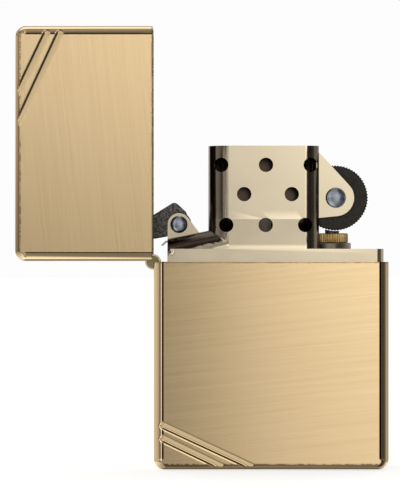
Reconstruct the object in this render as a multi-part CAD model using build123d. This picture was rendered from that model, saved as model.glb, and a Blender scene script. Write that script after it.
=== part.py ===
"""Windproof pocket lighter: a hinged brass case around a lift-out burner insert.

Millimetres. The origin is the middle of the case's bottom face. +X runs to the right, away from
the hinge, -Y is the front and +Z is up. The lid stands open by LID_OPEN_AT_REST: every lid piece
is drawn with the lid closed and then turned about the hinge axis.
"""
from build123d import *
from math import atan2, cos, hypot, pi, radians, sin
import os

# ---- case and lid -------------------------------------------------------------------------
CASE_WIDTH = 38.1
CASE_DEPTH = 12.7
CASE_HEIGHT = 33.65          # bottom face to the seam
LID_HEIGHT = 22.3            # lid's free edge to its top
SEAM_GAP = 0.05              # between case edge and lid edge when closed
CASE_WALL = 0.65
CASE_CORNER_R = 1.8          # corner of the front view
CASE_EDGE_R = 1.5            # rounding between the broad faces and the narrow sides
LID_OPEN_AT_REST = 90.0      # degrees

# ---- engraved diagonal grooves ------------------------------------------------------------
GROOVE_WIDTH = 0.8
GROOVE_DEPTH = 0.26
GROOVE_CUTTER_RISE = 0.3     # how far the cutter stands above the face
GROOVE_OVERRUN = 1.0         # how far the cutter runs past the outline
GROOVE_REACHES = [(7.85, 16.9), (5.75, 12.0)]   # up the side, along the end

# ---- hinge --------------------------------------------------------------------------------
HINGE_STANDOFF = 0.15        # axis outside the case's side face
HINGE_END_MARGIN = 2.05      # hinge end to the case's broad face
KNUCKLE_COUNT = 5            # odd ones on the case leaf, even ones on the lid leaf
KNUCKLE_GAP = 0.1
LEAF_THICKNESS = 0.45
LEAF_HEIGHT = 6.0
PIN_R = 0.75
PIN_HEAD_R = 1.0
PIN_HEAD_THICKNESS = 0.25
PIN_RUNNING_GAP = 0.04
HINGE_CLEARANCE = 0.12       # around the barrel, to walls and to the other leaf

# ---- lid stop plate -----------------------------------------------------------------------
STOP_PLATE_WIDTH = 4.6
STOP_PLATE_THICKNESS = 0.5
STOP_PLATE_LOW = 11.9        # above the hinge axis, lid closed
STOP_PLATE_HEIGHT = 4.2
STOP_PLATE_LIP = 2.9         # how far the lip stands in from the wall

# ---- insert shell -------------------------------------------------------------------------
INSERT_HINGE_GAP = 1.12      # hinge leaf to the insert's left wall
INSERT_SIDE_GAP = 0.14       # to the case wall on the right
INSERT_FACE_GAP = 0.15       # to the case wall, front and back
INSERT_FLOOR_GAP = 0.05      # above the rounded inner corners of the case's floor
INSERT_WALL = 0.45
INSERT_SHOULDER = 2.13       # tank top above the seam
INSERT_CORNER_R = 1.2
ROOF_RISE = 3.75             # cam-side roof above the seam, at its left end
ROOF_SLOPE = 0.2
ROOF_EDGE_R = 3.2

# ---- chimney ------------------------------------------------------------------------------
CHIMNEY_LEFT_SETBACK = 6.64  # from the insert's left wall
CHIMNEY_RIGHT_SETBACK = 10.41
CHIMNEY_HEADROOM = 2.78      # rim to the closed lid's inner top
CHIMNEY_DRAW_IN = 1.1        # how much thinner than the tank
CHIMNEY_WAIST = 7.0          # above the seam: where the faces stop leaning in
CHIMNEY_LEFT_R = 3.3
CHIMNEY_RIGHT_R = 2.35
VENT_R = 1.165
VENT_ROWS = [(0.8347, 0.32, 0.804), (0.5829, 0.64, 0.804), (0.318, 0.27, 0.7095)]  # rise, middle, spread
VENT_PAIR_SPREAD = 0.428     # in a row of two; rises and spreads are shares of the chimney's size
VENTS_IN_FRONT = (3, 2, 3)
VENTS_BEHIND = (2, 3, 2)     # between the front ones, so that no wind blows straight through

# ---- striker wheel ------------------------------------------------------------------------
WHEEL_REACH = 2.7            # axis beyond the chimney's right side
WHEEL_RISE = 10.45           # axis above the seam
WHEEL_R = 5.33
WHEEL_WIDTH = 4.5
WHEEL_TEETH = 68
TOOTH_DEPTH = 0.28
TOOTH_LAG = 0.7              # where a tooth's root lies in its pitch
WHEEL_HUB_R = 2.2
WHEEL_HUB_STANDOFF = 0.15
WHEEL_EAR_GAP = 0.1          # hub face to ear
WHEEL_EAR_THICKNESS = 0.55
WHEEL_EAR_R = 3.0
WHEEL_EAR_TOP_DROP = 0.6     # below the chimney's rim
WHEEL_EAR_TOP_INSET = 0.4    # from the chimney's right side
WHEEL_EAR_FOOT = 3.4         # its lowest corner under the axis
WHEEL_AXLE_R = 1.0
WHEEL_WINDOW_GAP = 0.45      # chimney window around the wheel
RIVET_RUNNING_GAP = 0.05
WHEEL_RIVET_HEAD_R = 1.66
WHEEL_RIVET_HEAD = 0.7

# ---- cam ----------------------------------------------------------------------------------
CAM_RISE = 6.11              # axis above the seam
CAM_WIDTH = 3.2
CAM_EAR_GAP = 0.15
CAM_EAR_THICKNESS = 0.5
CAM_EAR_R = 1.84
CAM_EAR_FOOT = 3.4           # its back edge from the axis
CAM_EAR_BACK_RISE = 0.9      # back edge above the roof's left end
CAM_HUB_R = 2.05
CAM_HEEL = (3.8, 100)        # rounded corner on top: radius and degrees about the axis
CAM_NOSE = [(4.75, 164), (4.95, 187), (4.95, 209)]   # blunt end that the lid works on
CAM_BACK = [(1.95, 0), (2.35, 60)]
CAM_UNDERSIDE = [(2.66, 227), (2.05, 262), (2.05, 300)]
CAM_HEEL_ROUND = 0.8
CAM_NOSE_ROUND = 0.5
CAM_RIVET_R = 0.85
CAM_RIVET_HEAD_R = 1.41
CAM_RIVET_HEAD = 0.6
RIVET_DOME_SHARE = 0.9       # how much of a head's height its rounding takes
CAM_POCKET_FLOOR = 1.6       # notch in the left wall, above the seam
CAM_SPRING_THICKNESS = 0.3
CAM_SPRING_WIDTH = 2.8
CAM_SPRING_FOOT_SETBACK = 3.79   # its rivet from the chimney's left side
CAM_SPRING_FOOT = (1.4, 1.6)     # level length to the right and left of the rivet
CAM_SPRING_TIP = [(0.6, 3.3), (-0.25, 3.35), (-0.87, 2.75)]   # from the insert's left wall, above the seam
CAM_SPRING_BEND_R = 0.6
CAM_SPRING_RIVET_R = 1.1
CAM_SPRING_RIVET_HEAD = 0.4

# ---- top plate, wick, packing, felt -------------------------------------------------------
PLATE_THICKNESS = 0.5
PLATE_DROP = 0.1             # plate's upper face under the seam line plus this
FIT_GAP = 0.02               # brazed or pushed together, same body
WICK_R = 1.25
WICK_OFFSET = 0.07           # from the chimney's middle
WICK_TOP_DROP = 4.47         # under the chimney's rim
WICK_HOLE_GAP = 0.15
WICK_FIRST_SHARE = 0.2877    # first level run under the top plate, as a share of the packing's height
WICK_PITCH_SHARE = 0.2597    # between the level runs, likewise
WICK_TAIL_GAP = 4.0          # short of the wick's left turn
PAD_EDGE_R = 1.2
PACKING_GAP = 0.25
FELT_THICKNESS = 2.6
FELT_RECESS = 0.3

# ---- flint, its tube, spring and screw ----------------------------------------------------
FLINT_OFFSET = 0.45          # to the left of the wheel's axis
FLINT_R = 1.155
FLINT_LENGTH = 5.0
FLINT_STRIKE_GAP = 0.06      # to the wheel
FLINT_HOLLOW = 0.25          # how far the worn top laps up round the wheel
FLINT_BORE_GAP = 0.06
FLINT_TUBE_WALL = 0.4
TUBE_MOUTH_DROP = 0.3        # tube's mouth inside the collar
FERRULE_R = 2.63
FERRULE_LOW = 3.13           # above the seam
FERRULE_HIGH = 4.67
FERRULE_KNURLS = 36
FERRULE_KNURL_DEPTH = 0.14
FERRULE_KNURL_LIFT = 0.06    # cutter's middle outside the collar
FERRULE_EDGE_R = 0.2
FLANGE_R = 3.08
FLANGE_EDGE_R = 0.25
PLUNGER_LENGTH = 2.2
PLUNGER_STEM_R = 0.55
PLUNGER_GAP = 0.05           # to the flint's radius
FLINT_SPRING_WIRE_R = 0.17
FLINT_SPRING_TURNS = 22
FLINT_SPRING_GAP = 0.1       # coil's outside to the flint's radius
SCREW_HEAD_R = 2.3
SCREW_HEAD_THICKNESS = 1.1
SCREW_HEAD_RECESS = 0.35
SCREW_SHANK = 5.5
SCREW_SLOT_WIDTH = 0.7
SCREW_SLOT_DEPTH = 0.6
SCREW_HEAD_EDGE_R = 0.3

# ---- worked out from the above ------------------------------------------------------------
SEAM = CASE_HEIGHT
HALF_WIDTH = CASE_WIDTH / 2
HINGE_X = -(HALF_WIDTH + HINGE_STANDOFF)
BARREL_R = HINGE_STANDOFF + CASE_WALL + LEAF_THICKNESS
HINGE_LENGTH = CASE_DEPTH - 2 * HINGE_END_MARGIN
HINGE = Pos(HINGE_X, 0, SEAM)
NOTCH_HALF = HINGE_LENGTH / 2 + PIN_HEAD_THICKNESS + HINGE_CLEARANCE
INSERT_LEFT = HINGE_X + BARREL_R + INSERT_HINGE_GAP
INSERT_RIGHT = HALF_WIDTH - CASE_WALL - INSERT_SIDE_GAP
INSERT_DEPTH = CASE_DEPTH - 2 * (CASE_WALL + INSERT_FACE_GAP)
INSERT_BOTTOM = max(CASE_CORNER_R, CASE_EDGE_R) + INSERT_FLOOR_GAP
TANK_TOP = SEAM + INSERT_SHOULDER
PLATE_TOP = SEAM + PLATE_DROP
PLATE_BOTTOM = PLATE_TOP - PLATE_THICKNESS
CHIMNEY_LEFT = INSERT_LEFT + CHIMNEY_LEFT_SETBACK
CHIMNEY_RIGHT = INSERT_RIGHT - CHIMNEY_RIGHT_SETBACK
CHIMNEY_MIDDLE = (CHIMNEY_LEFT + CHIMNEY_RIGHT) / 2
CHIMNEY_DEPTH = INSERT_DEPTH - CHIMNEY_DRAW_IN
CHIMNEY_TOP = LID_HEIGHT - CASE_WALL - CHIMNEY_HEADROOM
CHIMNEY_RIM = SEAM + CHIMNEY_TOP
WHEEL_X = CHIMNEY_RIGHT + WHEEL_REACH
WHEEL_Z = SEAM + WHEEL_RISE
WHEEL_HUB_HALF = WHEEL_WIDTH / 2 + WHEEL_HUB_STANDOFF
WHEEL_EAR_IN = WHEEL_HUB_HALF + WHEEL_EAR_GAP
WHEEL_EAR_OUT = WHEEL_EAR_IN + WHEEL_EAR_THICKNESS
CAM_X = INSERT_LEFT + CAM_EAR_R
CAM_Z = SEAM + CAM_RISE
CAM_SPRING_FOOT_X = CHIMNEY_LEFT + CAM_SPRING_FOOT_SETBACK
CAM_EAR_IN = CAM_WIDTH / 2 + CAM_EAR_GAP
CAM_EAR_OUT = CAM_EAR_IN + CAM_EAR_THICKNESS
WICK_X = CHIMNEY_MIDDLE + WICK_OFFSET
PACKING_FLOOR = INSERT_BOTTOM + FELT_RECESS + FELT_THICKNESS
WICK_RUN_PITCH = WICK_PITCH_SHARE * (PLATE_BOTTOM - PACKING_FLOOR)
FLINT_X = WHEEL_X - FLINT_OFFSET
FLINT_BORE_R = FLINT_R + FLINT_BORE_GAP
FLINT_TUBE_R = FLINT_BORE_R + FLINT_TUBE_WALL
FLINT_TOP = WHEEL_Z - WHEEL_R + FLINT_HOLLOW
FLINT_BOTTOM = FLINT_TOP - FLINT_LENGTH
SCREW_BOTTOM = INSERT_BOTTOM + SCREW_HEAD_RECESS
SCREW_HEAD_TOP = SCREW_BOTTOM + SCREW_HEAD_THICKNESS
SCREW_TOP = SCREW_HEAD_TOP + SCREW_SHANK


def y_cylinder(radius, half_length, x=0.0, z=0.0, middle=0.0):
    """Cylinder along Y, centred on (x, middle, z)."""
    return Pos(x, middle, z) * Rot(90, 0, 0) * Cylinder(radius, 2 * half_length)


def z_cylinder(radius, low, high, x=0.0):
    """Upright cylinder on Y = 0 from low to high."""
    return Pos(x, 0, (low + high) / 2) * Cylinder(radius, high - low)


def block(x_range, y_range, z_range):
    """Box between the given limits."""
    size = [b - a for a, b in (x_range, y_range, z_range)]
    middle = [(a + b) / 2 for a, b in (x_range, y_range, z_range)]
    return Pos(*middle) * Box(*size)


def front_plate(outline, y_low, y_high):
    """Face drawn in the X-Z plane, made solid from y_low to y_high."""
    return extrude(Plane((0, y_high, 0), x_dir=(1, 0, 0), z_dir=(0, -1, 0)) * outline, y_high - y_low)


def lid_at_rest(shape):
    """Turn a piece drawn on the closed lid to where the open lid holds it."""
    return HINGE * Rot(0, -LID_OPEN_AT_REST, 0) * HINGE.inverse() * shape


# ---- case and lid shells ------------------------------------------------------------------
def tub(width, depth, height, corner_r, edge_r):
    """Block with a rounded closed end at Z = 0 and a square open end at Z = height."""
    body = block((-width / 2, width / 2), (-depth / 2, depth / 2), (0, height))
    body = fillet(body.edges().filter_by(Axis.Y).group_by(Axis.Z)[0], corner_r)
    rims = [e for face in body.faces().filter_by(Axis.Y) for e in face.edges()
            if e.center().Z < height - FIT_GAP]
    return fillet(rims, edge_r)


def drawn_shell(height):
    """Deep-drawn brass cup of one wall thickness, closed at Z = 0."""
    outer = tub(CASE_WIDTH, CASE_DEPTH, height, CASE_CORNER_R, CASE_EDGE_R)
    inner = tub(CASE_WIDTH - 2 * CASE_WALL, CASE_DEPTH - 2 * CASE_WALL, height,
                CASE_CORNER_R - CASE_WALL, CASE_EDGE_R - CASE_WALL)
    return outer - Pos(0, 0, CASE_WALL) * inner


def grooves():
    """V cutters across the front face's lower left corner, outline corner at (-width/2, 0)."""
    cutters = []
    for up_side, along_end in GROOVE_REACHES:
        slope = atan2(up_side, along_end)
        half_width = GROOVE_WIDTH / 2 * (GROOVE_DEPTH + GROOVE_CUTTER_RISE) / GROOVE_DEPTH
        start = (-HALF_WIDTH - GROOVE_OVERRUN * cos(slope), -CASE_DEPTH / 2,
                 up_side + GROOVE_OVERRUN * sin(slope))
        across = Plane(start, x_dir=(sin(slope), 0, cos(slope)), z_dir=(cos(slope), 0, -sin(slope)))
        vee = Polygon((0, -GROOVE_DEPTH), (half_width, GROOVE_CUTTER_RISE),
                      (-half_width, GROOVE_CUTTER_RISE), align=None)
        cutters.append(extrude(across * vee, hypot(up_side, along_end) + 2 * GROOVE_OVERRUN))
    return cutters


def engraved(shell):
    """Cut the grooves into the front face and, turned about Z, into the back face."""
    for cutter in grooves():
        shell = shell - cutter - Rot(0, 0, 180) * cutter
    return shell


def hinge_notch():
    """Room for the hinge barrel in the case's and the lid's wall."""
    return y_cylinder(BARREL_R + HINGE_CLEARANCE, NOTCH_HALF, HINGE_X, SEAM)


def lower_case():
    return engraved(drawn_shell(CASE_HEIGHT)) - hinge_notch()


def lid_shell():
    lid = engraved(drawn_shell(LID_HEIGHT))
    lid = Pos(0, 0, SEAM + SEAM_GAP + LID_HEIGHT) * Rot(0, 180, 0) * lid
    return lid_at_rest(lid - hinge_notch())


# ---- hinge --------------------------------------------------------------------------------
def hinge_leaf(first_knuckle, side, bore_r):
    """Leaf with every second knuckle; side is -1 below the axis, +1 above it."""
    pitch = HINGE_LENGTH / KNUCKLE_COUNT
    inner = HINGE_X + BARREL_R
    outer = inner - LEAF_THICKNESS
    start = BARREL_R + HINGE_CLEARANCE
    levels = sorted((SEAM + side * start, SEAM + side * LEAF_HEIGHT))
    leaf = block((outer, inner), (-HINGE_LENGTH / 2, HINGE_LENGTH / 2), levels)
    for index in range(first_knuckle, KNUCKLE_COUNT, 2):
        middle = (index + 0.5) * pitch - HINGE_LENGTH / 2
        half = (pitch - KNUCKLE_GAP) / 2
        tongue = sorted((SEAM, SEAM + side * (start + LEAF_THICKNESS)))
        leaf += y_cylinder(BARREL_R, half, HINGE_X, SEAM, middle)
        leaf += block((outer, inner), (middle - half, middle + half), tongue)
    return leaf - y_cylinder(bore_r, HINGE_LENGTH, HINGE_X, SEAM)


def hinge_pin():
    pin = y_cylinder(PIN_R, HINGE_LENGTH / 2, HINGE_X, SEAM)
    for end in (-1, 1):
        middle = end * (HINGE_LENGTH + PIN_HEAD_THICKNESS) / 2
        pin += y_cylinder(PIN_HEAD_R, PIN_HEAD_THICKNESS / 2, HINGE_X, SEAM, middle)
    return pin


def lid_stop_plate():
    """Angle strip on the lid's inner side wall, its lip over the cam's nose when closed."""
    wall = -HALF_WIDTH + CASE_WALL
    half = STOP_PLATE_WIDTH / 2
    low = SEAM + STOP_PLATE_LOW
    strip = block((wall, wall + STOP_PLATE_THICKNESS), (-half, half), (low, low + STOP_PLATE_HEIGHT))
    strip += block((wall, wall + STOP_PLATE_LIP), (-half, half), (low, low + STOP_PLATE_THICKNESS))
    return lid_at_rest(strip)


# ---- insert -------------------------------------------------------------------------------
def chimney_section(z, depth, inset):
    """Rounded plan of the chimney at one height, drawn in by inset."""
    left, right = CHIMNEY_LEFT + inset, CHIMNEY_RIGHT - inset
    half = depth / 2 - inset
    sheet = Pos((left + right) / 2, 0) * Rectangle(right - left, 2 * half)
    sides = sheet.vertices().group_by(Axis.X)
    sheet = fillet(sides[0], CHIMNEY_LEFT_R - inset)
    sheet = fillet(sheet.vertices().group_by(Axis.X)[-1], CHIMNEY_RIGHT_R - inset)
    return Pos(0, 0, z) * sheet


def insert_form(inset):
    """Solid outline of the insert, drawn in by inset: tank, cam-side roof and chimney."""
    left, right = INSERT_LEFT + inset, INSERT_RIGHT - inset
    half = INSERT_DEPTH / 2 - inset
    tank = block((left, right), (-half, half), (INSERT_BOTTOM, TANK_TOP - inset))
    tank = fillet(tank.edges().filter_by(Axis.Z), INSERT_CORNER_R - inset)

    roof_end = CHIMNEY_LEFT + CHIMNEY_LEFT_R
    roof_top = SEAM + ROOF_RISE - inset + ROOF_SLOPE * inset
    roof_low = SEAM - ROOF_EDGE_R
    profile = Pos(0, (roof_low + roof_top) / 2) * Rectangle(2 * half, roof_top - roof_low)
    profile = fillet(profile.vertices().group_by(Axis.Y)[-1], ROOF_EDGE_R - inset)
    wall_plane = Plane((left, 0, 0), x_dir=(0, 1, 0), z_dir=(1, 0, 0))
    slope = hypot(1, ROOF_SLOPE)
    roof = extrude(wall_plane * profile, (roof_end - left) * slope, dir=(1 / slope, 0, ROOF_SLOPE / slope))

    waist = SEAM + CHIMNEY_WAIST
    base = TANK_TOP - inset
    chimney = loft([chimney_section(base, INSERT_DEPTH, inset), chimney_section(waist, CHIMNEY_DEPTH, inset)])
    chimney += extrude(chimney_section(waist, CHIMNEY_DEPTH, inset), CHIMNEY_RIM - waist)
    return tank + roof + chimney


def wheel_ear_outline():
    """Ear beside the chimney: round about the axle, its back edge slanting up to the rim."""
    root = CHIMNEY_RIGHT - CHIMNEY_RIGHT_R / 2
    top = CHIMNEY_RIM - WHEEL_EAR_TOP_DROP
    corner = [(root, top), (CHIMNEY_RIGHT - WHEEL_EAR_TOP_INSET, top), (root, WHEEL_Z - WHEEL_EAR_FOOT)]
    frame = [Edge.make_line((*a, 0), (*b, 0)) for a, b in zip(corner, corner[1:] + corner[:1])]
    tip = Edge.make_circle(WHEEL_EAR_R, Plane((WHEEL_X, WHEEL_Z, 0)))
    return make_hull(frame + [tip])


def cam_ear_outline():
    """Ear on the cam-side roof: round about the cam's axis, its back edge sloping down."""
    foot = SEAM + ROOF_RISE - ROOF_EDGE_R / 2
    back = CAM_X + CAM_EAR_FOOT
    corner = [(INSERT_LEFT, foot), (back, foot), (back, SEAM + ROOF_RISE + CAM_EAR_BACK_RISE)]
    frame = [Edge.make_line((*a, 0), (*b, 0)) for a, b in zip(corner, corner[1:] + corner[:1])]
    tip = Edge.make_circle(CAM_EAR_R, Plane((CAM_X, CAM_Z, 0)))
    return make_hull(frame + [tip])


def vent_places(counts):
    """Vents on one face in rows of three or two, as (x, z)."""
    half = (CHIMNEY_RIGHT - CHIMNEY_LEFT) / 2
    places = []
    for (rise, offset, spread), count in zip(VENT_ROWS, counts):
        steps = (-VENT_PAIR_SPREAD, VENT_PAIR_SPREAD) if count == 2 else (-spread, 0, spread)
        places += [(CHIMNEY_MIDDLE + offset + step * half, SEAM + rise * CHIMNEY_TOP) for step in steps]
    return places


def insert_shell():
    shell = insert_form(0) - insert_form(INSERT_WALL)
    half = INSERT_DEPTH / 2
    shell -= block((INSERT_LEFT + INSERT_WALL, INSERT_RIGHT - INSERT_WALL), (-half + INSERT_WALL,
                   half - INSERT_WALL), (INSERT_BOTTOM - 1, INSERT_BOTTOM + 1))
    inside = insert_form(INSERT_WALL)
    ears = []
    for side in (-1, 1):
        near, far = sorted((side * WHEEL_EAR_IN, side * WHEEL_EAR_OUT))
        ears.append(front_plate(wheel_ear_outline(), near, far) - inside)
        near, far = sorted((side * CAM_EAR_IN, side * CAM_EAR_OUT))
        ears.append(front_plate(cam_ear_outline(), near, far) - inside)
    shell = shell + ears
    # window from the shoulder up: room for the flint collar, and the way in for the sparks
    window = block((CHIMNEY_RIGHT - CHIMNEY_RIGHT_R, CHIMNEY_RIGHT + 1), (-WHEEL_EAR_IN, WHEEL_EAR_IN),
                   (TANK_TOP, WHEEL_Z + WHEEL_R + WHEEL_WINDOW_GAP))
    # pocket between the cam's ears, through roof and left wall
    pocket = block((INSERT_LEFT - 1, CAM_X + CAM_EAR_FOOT), (-CAM_EAR_IN, CAM_EAR_IN),
                   (SEAM + CAM_POCKET_FLOOR, CAM_Z + CAM_EAR_R + 1))
    shell = shell - window - pocket
    for side, counts in ((-1, VENTS_IN_FRONT), (1, VENTS_BEHIND)):
        for x, z in vent_places(counts):
            shell -= y_cylinder(VENT_R, half / 2, x, z, side * half)
    shell -= y_cylinder(WHEEL_AXLE_R, INSERT_DEPTH, WHEEL_X, WHEEL_Z)
    shell -= y_cylinder(CAM_RIVET_R, CAM_EAR_OUT + 1, CAM_X, CAM_Z)
    return shell - z_cylinder(FLINT_TUBE_R + FIT_GAP, SEAM, TANK_TOP + 1, FLINT_X)


def tank_plan(inset, low, high, corner_r=INSERT_CORNER_R - INSERT_WALL):
    """Slab that fills the tank's inside, drawn in by inset."""
    gap = INSERT_WALL + inset
    half = INSERT_DEPTH / 2 - gap
    slab = block((INSERT_LEFT + gap, INSERT_RIGHT - gap), (-half, half), (low, high))
    return fillet(slab.edges().filter_by(Axis.Z), corner_r)


def top_plate():
    """Closes the tank under the chimney and carries the wick, the flint tube and the cam spring."""
    plate = tank_plan(FIT_GAP, PLATE_BOTTOM, PLATE_TOP)
    plate -= z_cylinder(WICK_R + WICK_HOLE_GAP, PLATE_BOTTOM - 1, PLATE_TOP + 1, WICK_X)
    plate -= z_cylinder(FLINT_TUBE_R + FIT_GAP, PLATE_BOTTOM - 1, PLATE_TOP + 1, FLINT_X)
    return plate - z_cylinder(CAM_SPRING_RIVET_R / 2, PLATE_BOTTOM - 1, PLATE_TOP + 1, CAM_SPRING_FOOT_X)


# ---- striker wheel and its axle -----------------------------------------------------------
def striker_wheel():
    """Saw-toothed steel wheel with a short hub on each side."""
    points = []
    for tooth in range(WHEEL_TEETH):
        angle = 2 * pi * tooth / WHEEL_TEETH
        lag = 2 * pi / WHEEL_TEETH * TOOTH_LAG
        points.append((WHEEL_X + WHEEL_R * cos(angle), WHEEL_Z + WHEEL_R * sin(angle)))
        root = WHEEL_R - TOOTH_DEPTH
        points.append((WHEEL_X + root * cos(angle + lag), WHEEL_Z + root * sin(angle + lag)))
    rim = front_plate(make_face(Polyline(*points, close=True)), -WHEEL_WIDTH / 2, WHEEL_WIDTH / 2)
    wheel = rim + y_cylinder(WHEEL_HUB_R, WHEEL_HUB_HALF, WHEEL_X, WHEEL_Z)
    return wheel - y_cylinder(WHEEL_AXLE_R + RIVET_RUNNING_GAP, CASE_DEPTH, WHEEL_X, WHEEL_Z)


def rivet(radius, head_r, head, ear_out, x, z):
    """Shank through both ears with a low domed head outside each."""
    body = y_cylinder(radius, ear_out, x, z)
    for side in (-1, 1):
        dome = y_cylinder(head_r, head / 2, x, z, side * (ear_out + head / 2))
        rim = dome.edges().filter_by(GeomType.CIRCLE).sort_by(Axis.Y)
        outer = rim[-1] if side > 0 else rim[0]
        body += fillet(outer, head * RIVET_DOME_SHARE)
    return body


# ---- cam, its rivet and its leaf spring ---------------------------------------------------
def polar(radius, angle):
    """Point about the cam's axis, in the X-Z plane."""
    return (CAM_X + radius * cos(radians(angle)), CAM_Z + radius * sin(radians(angle)))


def cam():
    """Boomerang lever: hub on the rivet, heel on top and blunt nose towards the lid."""
    places = CAM_BACK + [CAM_HEEL] + CAM_NOSE + CAM_UNDERSIDE
    face = make_face(Polyline(*[polar(*place) for place in places], close=True))
    for places, radius in (([CAM_HEEL], CAM_HEEL_ROUND), (CAM_NOSE, CAM_NOSE_ROUND)):
        for place in places:
            face = fillet(face.vertices().sort_by_distance((*polar(*place), 0))[0], radius)
    lever = front_plate(face, -CAM_WIDTH / 2, CAM_WIDTH / 2)
    lever += y_cylinder(CAM_HUB_R, CAM_WIDTH / 2, CAM_X, CAM_Z)
    return lever - y_cylinder(CAM_RIVET_R + RIVET_RUNNING_GAP, CAM_WIDTH, CAM_X, CAM_Z)


def cam_spring():
    """Bent leaf from its rivet on the top plate to under the cam, its tip turned down."""
    middle = PLATE_TOP + CAM_SPRING_THICKNESS / 2
    right, left = CAM_SPRING_FOOT
    route = [(CAM_SPRING_FOOT_X + right, middle), (CAM_SPRING_FOOT_X - left, middle)]
    route += [(INSERT_LEFT + x, SEAM + z) for x, z in CAM_SPRING_TIP]
    line = FilletPolyline(*route, radius=CAM_SPRING_BEND_R)
    band = offset(line, CAM_SPRING_THICKNESS / 2, side=Side.BOTH)
    leaf = front_plate(make_face(band), -CAM_SPRING_WIDTH / 2, CAM_SPRING_WIDTH / 2)
    return leaf - z_cylinder(CAM_SPRING_RIVET_R / 2, SEAM - 2, SEAM + 4, CAM_SPRING_FOOT_X)


def cam_spring_rivet():
    over = PLATE_TOP + CAM_SPRING_THICKNESS
    body = z_cylinder(CAM_SPRING_RIVET_R / 2, PLATE_BOTTOM, over, CAM_SPRING_FOOT_X)
    body += z_cylinder(CAM_SPRING_RIVET_R, over, over + CAM_SPRING_RIVET_HEAD, CAM_SPRING_FOOT_X)
    under = PLATE_BOTTOM - CAM_SPRING_RIVET_HEAD
    return body + z_cylinder(CAM_SPRING_RIVET_R, under, PLATE_BOTTOM, CAM_SPRING_FOOT_X)


# ---- wick, packing and felt ---------------------------------------------------------------
def wick_levels():
    """Heights of the wick's level runs between the cotton pads."""
    first = PLATE_BOTTOM - WICK_FIRST_SHARE * (PLATE_BOTTOM - PACKING_FLOOR)
    return [first, first - WICK_RUN_PITCH, first - 2 * WICK_RUN_PITCH]


def wick():
    """Plaited cord: upright in the chimney, then to and fro between the cotton pads."""
    high, middle, low = wick_levels()
    turn_r = WICK_RUN_PITCH / 2 - FIT_GAP
    left = INSERT_LEFT + INSERT_WALL + WICK_R + PACKING_GAP
    right = FLINT_X - FLINT_TUBE_R - WICK_R - PACKING_GAP
    route = FilletPolyline((WICK_X, 0, CHIMNEY_RIM - WICK_TOP_DROP), (WICK_X, 0, high), (left, 0, high),
                           (left, 0, middle), (right, 0, middle), (right, 0, low),
                           (left + WICK_TAIL_GAP, 0, low),
                           radius=turn_r)
    end = Plane(route @ 0, z_dir=route % 0)
    return sweep(end * Circle(WICK_R), path=route)


def cotton_pad(index):
    """One of the four cotton pads: above, between and below the wick's runs."""
    levels = [PLATE_BOTTOM] + wick_levels() + [PACKING_FLOOR]
    upper = levels[index] - (WICK_R if index else CAM_SPRING_RIVET_HEAD) - PACKING_GAP
    lower = levels[index + 1] + (WICK_R if index < 3 else 0) + PACKING_GAP
    gap = INSERT_WALL + PACKING_GAP
    left = INSERT_LEFT + gap
    right = FLINT_X - FLINT_TUBE_R - PACKING_GAP
    turn = WICK_RUN_PITCH / 2 + WICK_R + PACKING_GAP
    if index == 1:
        left += turn
    if index == 2:
        right -= turn
    half = INSERT_DEPTH / 2 - gap
    pad = block((left, right), (-half, half), (lower, upper))
    pad = fillet(pad.edges(), min(PAD_EDGE_R, (upper - lower) / 3))
    if index == 0:
        pad -= z_cylinder(WICK_R + PACKING_GAP, lower - 1, upper + 1, WICK_X)
        pad -= block((left - 1, WICK_X), (-WICK_R - PACKING_GAP, WICK_R + PACKING_GAP),
                     (lower - 1, lower + WICK_RUN_PITCH / 2))
    return pad


def felt_pad():
    """Felt that closes the bottom of the tank, with a hole for the flint screw."""
    low = INSERT_BOTTOM + FELT_RECESS
    pad = tank_plan(PACKING_GAP / 2, low, low + FELT_THICKNESS)
    return pad - z_cylinder(SCREW_HEAD_R + PACKING_GAP, low - 1, low + FELT_THICKNESS + 1, FLINT_X)


# ---- flint train --------------------------------------------------------------------------
def flint_tube():
    tube = z_cylinder(FLINT_TUBE_R, SCREW_HEAD_TOP + FIT_GAP, SEAM + FERRULE_HIGH - TUBE_MOUTH_DROP, FLINT_X)
    return tube - z_cylinder(FLINT_BORE_R, 0, CHIMNEY_RIM, FLINT_X)


def flint_ferrule():
    """Knurled brass collar around the mouth of the flint tube."""
    collar = z_cylinder(FERRULE_R, SEAM + FERRULE_LOW, SEAM + FERRULE_HIGH, FLINT_X)
    collar = fillet(collar.edges().filter_by(GeomType.CIRCLE), FERRULE_EDGE_R)
    for index in range(FERRULE_KNURLS):
        turn = Pos(FLINT_X, 0, 0) * Rot(0, 0, 360 * index / FERRULE_KNURLS)
        low = SEAM + FERRULE_LOW - 1
        high = SEAM + FERRULE_HIGH + 1
        flute = Cylinder(FERRULE_KNURL_DEPTH, high - low)
        collar -= turn * Pos(FERRULE_R + FERRULE_KNURL_LIFT, 0, (low + high) / 2) * flute
    return collar - z_cylinder(FLINT_TUBE_R + FIT_GAP, 0, CHIMNEY_RIM, FLINT_X)


def flint_flange():
    """Flat washer under the collar, seated on the tank's shoulder."""
    flange = z_cylinder(FLANGE_R, TANK_TOP, SEAM + FERRULE_LOW, FLINT_X)
    flange = fillet(flange.edges().filter_by(GeomType.CIRCLE).sort_by(Axis.Z)[-1], FLANGE_EDGE_R)
    return flange - z_cylinder(FLINT_TUBE_R + FIT_GAP, 0, CHIMNEY_RIM, FLINT_X)


def flint():
    """Round flint, its top worn to the wheel."""
    rod = z_cylinder(FLINT_R, FLINT_BOTTOM, FLINT_TOP, FLINT_X)
    return rod - y_cylinder(WHEEL_R + FLINT_STRIKE_GAP, CASE_DEPTH, WHEEL_X, WHEEL_Z)


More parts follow.
